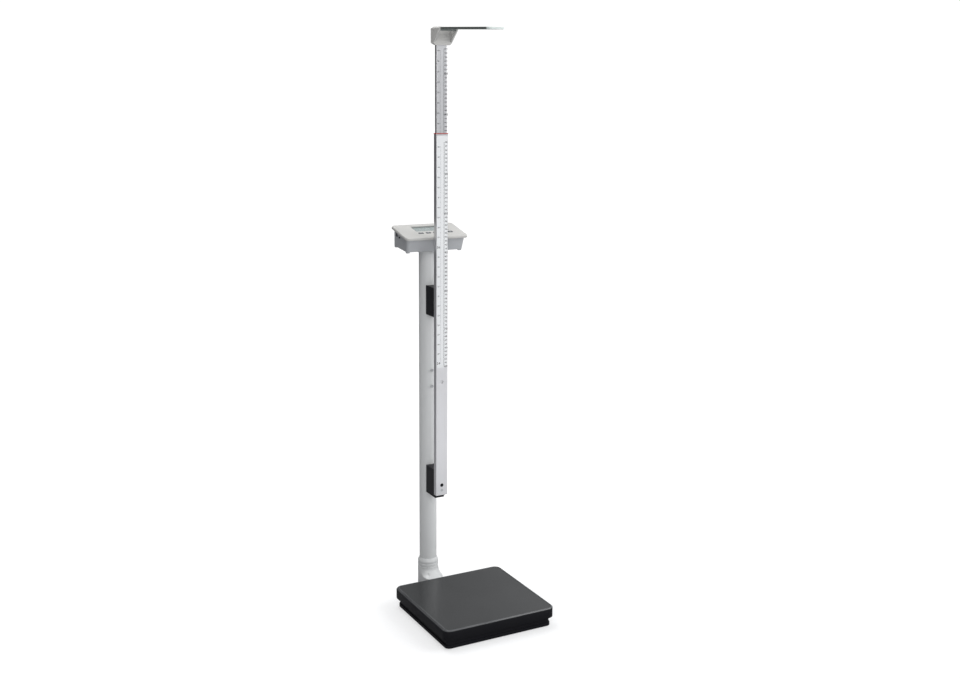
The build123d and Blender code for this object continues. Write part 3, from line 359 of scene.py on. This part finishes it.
def swept_shell(outline, outward, profile):
    """Closed shell: a profile of (inset, height) carried round an outline, capped at both ends.

    A point is the outline's point moved inwards by the profile's inset, at the profile's height."""
    profile = np.asarray(profile)
    flat = outline[None, :, :] - profile[:, None, :1] * outward[None, :, :]
    heights = np.broadcast_to(profile[:, None, 1:], flat.shape[:2] + (1,))
    points = np.concatenate([flat, heights], axis=2).reshape(-1, 3)
    rows, columns = len(profile), len(outline)
    row, column = np.meshgrid(np.arange(rows - 1), np.arange(columns), indexing="ij")
    here = row * columns + column
    beside = row * columns + (column + 1) % columns
    quads = np.stack([here, here + columns, beside + columns, beside], axis=2).reshape(-1, 4)
    faces = [list(quad) for quad in quads.tolist()]
    faces.append(list(range(columns)))
    faces.append(list(range(rows * columns - 1, (rows - 1) * columns - 1, -1)))
    return points, faces


def soften_by_angle(thing, angle=35.0):
    """Smooth shading that keeps edges sharper than the angle crisp."""
    thing.data.polygons.foreach_set("use_smooth", [True] * len(thing.data.polygons))
    thing.data.set_sharp_from_angle(angle=radians(angle))


def shell_faces(rows, columns, closed_rows=False):
    """Quads of a grid that closes round its columns, and round its rows too if asked."""
    last = rows if closed_rows else rows - 1
    row, column = np.meshgrid(np.arange(last), np.arange(columns), indexing="ij")
    here = row * columns + column
    beside = row * columns + (column + 1) % columns
    above, above_beside = [((row + 1) % rows) * columns + c for c in (column, (column + 1) % columns)]
    return np.stack([here, beside, above_beside, above], axis=2).reshape(-1, 4).tolist()


def column_foot():
    """Cast foot: a collar whose front runs out in a hollow curve to a flat tongue.

    Each level is two half circles of the collar's radius, the front one moved forward by
    reach * (1 - sqrt(1 - t * t)), where t grows from 0 at the curve's top to 1 at its root;
    a raised oval pad stands on the front, and the bore inside closes the shell."""
    low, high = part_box("column_foot")
    tube_low, tube_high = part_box("column_tube")
    middle_x, middle_y = (tube_low.x + tube_high.x) / 2, (tube_low.y + tube_high.y) / 2
    bore = (tube_high.x - tube_low.x) / 2
    collar_wall, cover_gap = 4.5 * MM, 1.2 * MM
    radius, rim_top = bore + collar_wall, high.z
    shoulder, curve_top, curve_root = high.z - 8 * MM, 16 * MM, -5 * MM
    rim_edge, edge_wall, rim_wall = rim_top - 1.2 * MM, 1.6 * MM, 0.8 * MM
    groove_depth, groove_half, groove_middles = 0.9 * MM, 1.1 * MM, (28 * MM, 19 * MM)
    pad_half_width, pad_half_height, pad_middle, pad_lift = 15 * MM, 7.5 * MM, -1 * MM, 2.6 * MM
    reach = middle_y - radius - (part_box("platform_cover")[1].y + cover_gap)
    heights = np.linspace(low.z, rim_top, 98)
    outer = np.interp(
        heights, [low.z, shoulder, rim_edge, rim_top], [radius, radius, bore + edge_wall, bore + rim_wall])
    for middle in groove_middles:
        outer = outer - groove_depth * (np.abs(heights - middle) < groove_half)
    t = np.clip((curve_top - heights) / (curve_top - curve_root), 0.0, 1.0)
    forward = reach * (1.0 - np.sqrt(1.0 - t * t))
    angles = np.linspace(0.0, 2 * np.pi, 144, endpoint=False)
    across, along = np.cos(angles), np.sin(angles)
    round_front = np.remainder(angles + np.pi / 2 + np.pi, 2 * np.pi) - np.pi
    sideways = round_front[None, :] * radius / pad_half_width
    upwards = (heights[:, None] - pad_middle) / pad_half_height
    lift = pad_lift * np.sqrt(np.clip(1.0 - sideways ** 4 - upwards ** 4, 0.0, 1.0))
    spread = outer[:, None] + lift
    shift = forward[:, None] * (along < 0)[None, :]
    shell = np.stack([
        middle_x + spread * across, middle_y + spread * along - shift,
        np.broadcast_to(heights[:, None], spread.shape)], axis=2)
    inner = bore + 0.1 * MM
    inside = np.stack([middle_x + inner * across, middle_y + inner * along], axis=1)
    levels = [np.column_stack([inside, np.full(len(angles), z)]) for z in (rim_top, low.z)]
    points = np.vstack([shell.reshape(-1, 3), *levels])
    faces = shell_faces(len(heights) + 2, len(angles), True)
    thing = add_mesh("column_foot_casting", points, faces, materials["grey_paint"], "base")
    soften_by_angle(thing, 40.0)
    tongue_top, tongue_back = low.z + 9 * MM, middle_y - radius * 0.5
    box_low = np.array([middle_x - radius, low.y, low.z])
    box_high = np.array([middle_x + radius, tongue_back, tongue_top])
    plate("column_foot_tongue", box_low, box_high, 1.5 * MM, "grey_paint", "base")
    boss()
    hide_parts("column_foot")


def plate(name, low, high, ease, slot, body):
    """Flat plate with rounded corners and eased top and bottom edges."""
    outline, outward = rounded_outline(high[0] - low[0], high[1] - low[1], 3 * MM, 4)
    profile = [(ease, 0.0), (0.0, -ease), (0.0, ease - (high[2] - low[2])), (ease, low[2] - high[2])]
    points, faces = swept_shell(outline, outward, profile)
    points += [(low[0] + high[0]) / 2, (low[1] + high[1]) / 2, high[2]]
    thing = add_mesh(name, points, faces, materials[slot], body)
    soften_by_angle(thing)


def boss():
    """Round boss behind the collar, with a recess that the clamp screw's head sits in."""
    low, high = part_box("clamp_screw")
    centre_x, centre_z = (low.x + high.x) / 2, (low.z + high.z) / 2
    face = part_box("column_foot")[1].y
    radii_and_depths = [(8.0, 5.0), (8.0, 0.8), (7.2, 0.0), (4.4, 0.0), (4.2, 2.5)]
    steps = 40
    angles = np.linspace(0.0, 2 * np.pi, steps, endpoint=False)
    rows = [
        np.stack([
            centre_x + radius * MM * np.cos(angles), np.full(steps, face - depth * MM),
            centre_z + radius * MM * np.sin(angles)], axis=1)
        for radius, depth in radii_and_depths
    ]
    points = np.vstack(rows)
    faces = [quad[::-1] for quad in shell_faces(len(rows), steps)]
    faces.append(list(range(len(points) - steps, len(points)))[::-1])
    faces.append(list(range(steps)))
    thing = add_mesh("column_foot_boss", points, faces, materials["grey_paint"], "base")
    soften_by_angle(thing)


def platform_cover():
    """Moulded cover: flat top with a fine raised rim, an eased bevel and a straight skirt."""
    low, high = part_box("platform_cover")
    width, depth, height = high.x - low.x, high.y - low.y, high.z - low.z
    corner, bevel, ease, wall = 20 * MM, 3.4 * MM, 1.6 * MM, 3 * MM
    rim_width, rim_drop = 2.2 * MM, 0.35 * MM
    outline, outward = rounded_outline(width, depth, corner)
    top_edge, side_edge = bevel + ease / 2, -bevel - ease / 2
    profile = [(top_edge + rim_width + 1.4 * MM, -rim_drop), (top_edge + rim_width + 0.5 * MM, -rim_drop)]
    profile += [(top_edge + rim_width, -0.08 * MM), (top_edge + rim_width - 0.4 * MM, 0.0)]
    profile += [(top_edge, 0.0), (bevel - ease / 4, -ease / 6), (bevel - ease / 2 - 0.2 * MM, -ease / 2)]
    profile += [(ease / 2, -bevel + ease / 2 - 0.1 * MM), (ease / 6, -bevel + ease / 8), (0.0, side_edge)]
    profile += [(0.0, -height + 0.8 * MM), (0.25 * MM, -height + 0.2 * MM), (0.8 * MM, -height)]
    profile += [(wall, -height), (wall, -wall)]
    points, faces = swept_shell(outline, outward, profile)
    points[:, 2] += high.z
    thing = add_mesh("platform_cover_moulding", points, faces, materials["black_textured_plastic"],
                     "platform")
    soften_by_angle(thing)
    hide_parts("platform_cover")


platform_cover()
column_foot()
for node, width in {
    "base_tray": 0.9, "upper_bracket": 0.8, "lower_bracket": 0.8, "headpiece": 0.7,
    "indicator_lid": 0.35, "indicator_housing": 0.9, "blade": 0.5, "blade_tip": 0.5, "index_collar": 0.3,
    "column_head": 0.8, "dc_jack": 0.3,
}.items():
    eased(node, width * MM)


# ---------------------------------------------------------------- printed scales
def glyphs():
    """Outline meshes of the ten numerals, one unit tall, as (points, faces, width)."""
    made = {}
    drawn_height, boldness = 0.70, 0.022
    for numeral in "0123456789":
        curve = bpy.data.curves.new("numeral", "FONT")
        curve.body, curve.resolution_u, curve.offset = numeral, 2, boldness
        thing = bpy.data.objects.new("numeral", curve)
        bpy.context.collection.objects.link(thing)
        bpy.context.view_layer.update()
        mesh = bpy.data.meshes.new_from_object(thing)
        points = np.array([v.co for v in mesh.vertices], float)
        faces = [list(p.vertices) for p in mesh.polygons]
        low, high = points.min(0), points.max(0)
        points = (points - [low[0], 0.0, 0.0]) / drawn_height
        made[numeral] = (points, faces, (high[0] - low[0]) / drawn_height)
        bpy.data.objects.remove(thing)
        bpy.data.curves.remove(curve)
    return made


NUMERALS = glyphs()


def print_marks(name, face_y, ticks, labels, body, ink):
    """Printed bars and numerals lying on a rod's front face, as one thin flat mesh.

    ticks are (x0, x1, z, height) bars and labels are (text, centre x, centre z, height)."""
    points, faces = [], []

    def put(block, polygons):
        start = sum(len(p) for p in points)
        points.append(block)
        faces.extend([[i + start for i in polygon] for polygon in polygons])

    for x0, x1, z, height in ticks:
        low, high = z - height / 2, z + height / 2
        corners = [[x0, face_y, low], [x1, face_y, low], [x1, face_y, high], [x0, face_y, high]]
        put(np.array(corners), [[0, 1, 2, 3]])
    for text, x, z, height in labels:
        gap = 0.16
        widths = [NUMERALS[c][2] for c in text]
        left = x - height * (sum(widths) + gap * (len(text) - 1)) / 2
        for character, width in zip(text, widths):
            shape, polygons, _ = NUMERALS[character]
            block = np.empty_like(shape)
            block[:, 0] = left + shape[:, 0] * height
            block[:, 1] = face_y
            block[:, 2] = z + (shape[:, 1] - 0.5) * height
            put(block, polygons)
            left += (width + gap) * height
    return add_mesh(name, np.vstack(points), faces, materials[ink], body)


materials["faint_ink"] = moulded("faint_ink", (0.04, 0.045, 0.05), (0.07, 0.075, 0.08), 0.5, 2500.0, 0.00001)
materials["scale_ground"] = painted("scale_ground", (0.70, 0.71, 0.72), (0.80, 0.81, 0.82), 0.4)
materials["bold_ink"] = moulded("bold_ink", (0.01, 0.01, 0.012), (0.02, 0.02, 0.024), 0.5, 2500.0, 0.00001)


def scale_marks(heights_cm, heights_inch, place, x_middle):
    """Bars and numerals for both scales: millimetres at the right, eighths of an inch at the left."""
    ticks, bold, faint = [], [], []
    cm_edge, cm_numerals = x_middle + 4.2 * MM, x_middle + 11.4 * MM
    inch_edge, inch_numerals = x_middle - 3.4 * MM, x_middle - 10.4 * MM
    for millimetre in range(round(heights_cm[0] * 10), round(heights_cm[1] * 10) + 1):
        length = 3.6 if millimetre % 10 == 0 else 2.8 if millimetre % 5 == 0 else 2.3
        z = place(millimetre * MM)
        ticks.append((cm_edge, cm_edge + length * MM, z, 0.4 * MM))
        if millimetre % 10 == 0:
            height = 5.4 if millimetre % 100 == 0 else 4.2 if millimetre < 1000 else 3.7
            bold.append((str(millimetre // 10), cm_numerals, z, height * MM))
    for eighth in range(round(heights_inch[0] * 8), round(heights_inch[1] * 8) + 1):
        length = 3.6 if eighth % 8 == 0 else 2.6 if eighth % 4 == 0 else 1.8
        z = place(eighth * 25.4 / 8 * MM)
        ticks.append((inch_edge - length * MM, inch_edge, z, 0.55 * MM))
        if eighth % 96 == 0:
            bold.append((str(eighth // 8), inch_numerals, z, 5.8 * MM))
        elif eighth % 8 == 0:
            faint.append((str(eighth // 8), inch_numerals, z, 3.6 * MM))
    return ticks, bold, faint


def print_rod(rod, body, heights_cm, heights_inch, place):
    """Print both scales on a rod's front face: bars, plain numerals and bold numerals."""
    low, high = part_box(rod)
    face = low.y - 0.05 * MM
    ticks, bold, faint = scale_marks(heights_cm, heights_inch, place, (low.x + high.x) / 2)
    print_marks(rod + "_ticks", face, ticks, [], body, "faint_ink")
    print_marks(rod + "_numerals", face, [], faint, body, "faint_ink")
    print_marks(rod + "_bold_numerals", face, [], bold, body, "bold_ink")


def pale_band(rod, body, bottom, top):
    """Pale etched ground that the outer rod's scales are printed on.

    It is one flat sheet, so it also lies over the rod's upper access hole."""
    low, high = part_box(rod)
    inset, face = 1.6 * MM, low.y - 0.025 * MM
    left, right = low.x + inset, high.x - inset
    corners = [(left, face, bottom), (right, face, bottom), (right, face, top), (left, face, top)]
    ground = materials["scale_ground"]
    add_mesh(rod + "_scale_ground", corners, [(0, 1, 2, 3)], ground, body)


def printed_scales():
    """Both rods' scales; the inner one reads the blade's height at the red index line."""
    print_rod("outer_rod", "base", (60, 118), (24, 46), lambda z: z)
    band_bottom, band_drop = 0.597, 4 * MM
    pale_band("outer_rod", "base", band_bottom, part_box("outer_rod")[1].z - band_drop)
    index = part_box("index_collar")[1].z
    blade_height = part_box("blade_tip")[0].z
    top_gap, last, inch = 6 * MM, 2.0, 25.4 * MM
    first = blade_height - (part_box("headpiece")[0].z - top_gap - index)
    print_rod(
        "inner_rod", "height_rod", (np.ceil(first * 100), last * 100),
        (np.ceil(first / inch), np.floor(last / inch)), lambda z: index + blade_height - z,
    )


printed_scales()


# ---------------------------------------------------------------- key symbols
def ring(radius, width, start=0.0, end=360.0, steps=28):
    """Flat ring or part of one: two arcs about the middle, joined by quads."""
    angles = np.radians(np.linspace(start, end, steps + 1))
    directions = np.stack([np.cos(angles), np.sin(angles)], axis=1)
    points = np.vstack([directions * (radius - width), directions * radius])
    inner = np.arange(steps)
    quads = np.stack([inner, inner + steps + 1, inner + steps + 2, inner + 1], axis=1)
    return points, quads.tolist()


def patch(*corners):
    """Flat polygon through the given corners."""
    return np.array(corners, float), [list(range(len(corners)))]


def bar(x, y, width, height):
    """Upright rectangle about a middle point."""
    dx, dy = width / 2, height / 2
    return patch((x - dx, y - dy), (x + dx, y - dy), (x + dx, y + dy), (x - dx, y + dy))


SYMBOLS = {
    "key_on_off": [ring(2.2, 0.5, 125, 415), bar(0, 1.4, 0.5, 2.2)],
    "key_units": [patch((-3.2, 0), (-0.7, -1.7), (-0.7, 1.7)), patch((3.2, 0), (0.7, 1.7), (0.7, -1.7))],
    "key_hold": [bar(-1.1, 0, 1.1, 3.8), bar(1.1, 0, 1.1, 3.8)],
    "key_tare": [ring(2.2, 0.6), bar(0, 0, 1.2, 1.2)],
    "key_body_mass": [bar(-2.4, -0.9, 1.0, 2.0), bar(-0.8, -0.4, 1.0, 3.0), bar(0.8, 0.1, 1.0, 4.0)],
}


def key_symbol(key, shapes):
    """Pale symbol printed on a key's sloping top, in the plane of that top."""
    points = np.array([v.co for v in frame["nodes"][key].data.vertices], float)
    polygons = frame["nodes"][key].data.polygons
    normals = np.array([p.normal for p in polygons], float)
    areas = np.array([p.area for p in polygons], float)
    upward = np.where(normals[:, 2] > 0.9, areas, 0.0)
    normal = normals[upward.argmax()]
    across = np.array([1.0, 0.0, 0.0])
    along = np.cross(normal, across)
    top = points[points @ normal > (points @ normal).max() - 0.02 * MM]
    middle = sum(axis * ((top @ axis).max() + (top @ axis).min()) / 2 for axis in (across, along))
    middle = middle + normal * ((points @ normal).max() + 0.03 * MM)
    blocks, faces, start = [], [], 0
    for flat, outlines in shapes:
        blocks.append(middle + MM * (flat[:, :1] * across + flat[:, 1:] * along))
        faces += [[i + start for i in outline] for outline in outlines]
        start += len(flat)
    add_mesh(key + "_symbol", np.vstack(blocks), faces, materials["symbol_ink"], key)


materials["symbol_ink"] = moulded("symbol_ink", (0.60, 0.62, 0.62), (0.72, 0.74, 0.74), 0.5, 2500.0, 0.00001)
for key, shapes in SYMBOLS.items():
    key_symbol(key, shapes)


# ---------------------------------------------------------------- studio
FLAG = Vector((-0.62, 0.78, -0.08)).normalized()


def floor():
    """Pale seamless floor that takes a soft shadow; it gives back less light than it shows."""
    floor_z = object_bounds()[0].z
    half = 30.0
    corners = [(-half, -half, floor_z), (half, -half, floor_z), (half, half, floor_z), (-half, half, floor_z)]
    mesh = bpy.data.meshes.new("floor")
    mesh.from_pydata(corners, [], [(0, 1, 2, 3)])
    thing = bpy.data.objects.new("floor", mesh)
    bpy.context.collection.objects.link(thing)
    paper = Finish("floor_paper", Roughness=0.95, Specular_IOR_Level=0.0)
    paper.feed("Base Color", paper.between(paper.noise(3.0), (0.88, 0.885, 0.90), (0.90, 0.905, 0.92)))
    away = paper.length(paper.place)
    far = paper.ramp(away, 0.22, 0.36)
    white = paper.node("ShaderNodeEmission", {}, {"Color": (1.0, 1.0, 1.0, 1.0), "Strength": 1.1})
    shaded = Value(paper, paper.shader.outputs[0])
    seen = paper.node("ShaderNodeMixShader", {}, {0: far * 0.5 + 0.5, 1: shaded, 2: white})
    behind = paper.dot(paper.place, FLAG)
    share = paper.ramp(away, 0.2, 1.0) * (1.0 - paper.ramp(behind, 0.25, 0.8))
    returned = paper.between(share, (0.30, 0.30, 0.31), (0.88, 0.88, 0.89))
    dim = paper.node("ShaderNodeBsdfDiffuse", {}, {"Color": returned})
    looked_at = paper.node("ShaderNodeLightPath", {}, {}, "Is Camera Ray")
    both = paper.node("ShaderNodeMixShader", {}, {0: looked_at, 1: dim, 2: seen})
    paper.tree.links.new(both.socket, paper.tree.nodes["Material Output"].inputs[0])
    mesh.materials.append(paper.material)
    thing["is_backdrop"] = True


def surroundings():
    """Soft room light, bright in front, above and at the right, with a dark flag behind at the left."""
    world = bpy.data.worlds.new("studio")
    bpy.context.scene.world = world
    world.use_nodes = True
    world.node_tree.nodes.clear()
    room = Graph(world.node_tree)
    direction = room.node("ShaderNodeTexCoord", {}, {}, "Generated")
    towards = room.dot(direction, FLAG)
    dark = room.ramp(towards, 0.18, 0.54)
    right = room.ramp(room.split(direction, 0), -0.6, 0.8)
    level = (1.0 - dark * 0.93) * (right * 0.55 + 0.45)
    lit = room.node("ShaderNodeBackground", {}, {"Color": (0.97, 0.985, 1.0, 1.0), "Strength": level * 0.8})
    white = room.node("ShaderNodeBackground", {}, {"Color": (1.0, 1.0, 1.0, 1.0), "Strength": 1.05})
    looked_at = room.node("ShaderNodeLightPath", {}, {}, "Is Camera Ray")
    both = room.node("ShaderNodeMixShader", {}, {0: looked_at, 1: lit, 2: white})
    room.node("ShaderNodeOutputWorld", {}, {0: both})


def lamps():
    """Broad key light high at the right, a fill at the left front, and a soft one overhead."""
    aim = Vector((0.0, 0.1, 0.5))
    for name, place, size, power in (
        ("key_light", (2.9, -1.7, 2.6), 2.4, 66.0),
        ("front_light", (-1.9, -3.0, 2.4), 2.4, 48.0),
        ("top_light", (-0.5, 1.0, 3.3), 1.6, 46.0),
    ):
        lamp = bpy.data.lights.new(name, "AREA")
        lamp.size, lamp.energy = size, power
        thing = bpy.data.objects.new(name, lamp)
        bpy.context.collection.objects.link(thing)
        thing.location = place
        thing.rotation_euler = (aim - Vector(place)).to_track_quat("-Z", "Y").to_euler()


def camera():
    """Standing view from the front left, a little above the display head."""
    yaw, pitch, roll = radians(28.326), radians(12.18), 0.0081
    place, sensor_width, focal_length = (-1.3925, -2.6089, 1.3339), 36.0, 45.03
    forward = Vector((sin(yaw) * cos(pitch), cos(yaw) * cos(pitch), -sin(pitch)))
    right = Vector((cos(yaw), -sin(yaw), 0.0))
    up = right.cross(forward)
    turned_right = cos(roll) * right + sin(roll) * up
    turned_up = cos(roll) * up - sin(roll) * right
    lens = bpy.data.cameras.new("camera")
    lens.sensor_width, lens.lens = sensor_width, focal_length
    thing = bpy.data.objects.new("camera", lens)
    bpy.context.collection.objects.link(thing)
    thing.matrix_world = Matrix((turned_right, turned_up, -forward)).transposed().to_4x4()
    thing.location = place
    bpy.context.scene.camera = thing


floor()
surroundings()
lamps()
camera()
bpy.context.scene.view_settings.view_transform = "Standard"
bpy.context.view_layer.update()
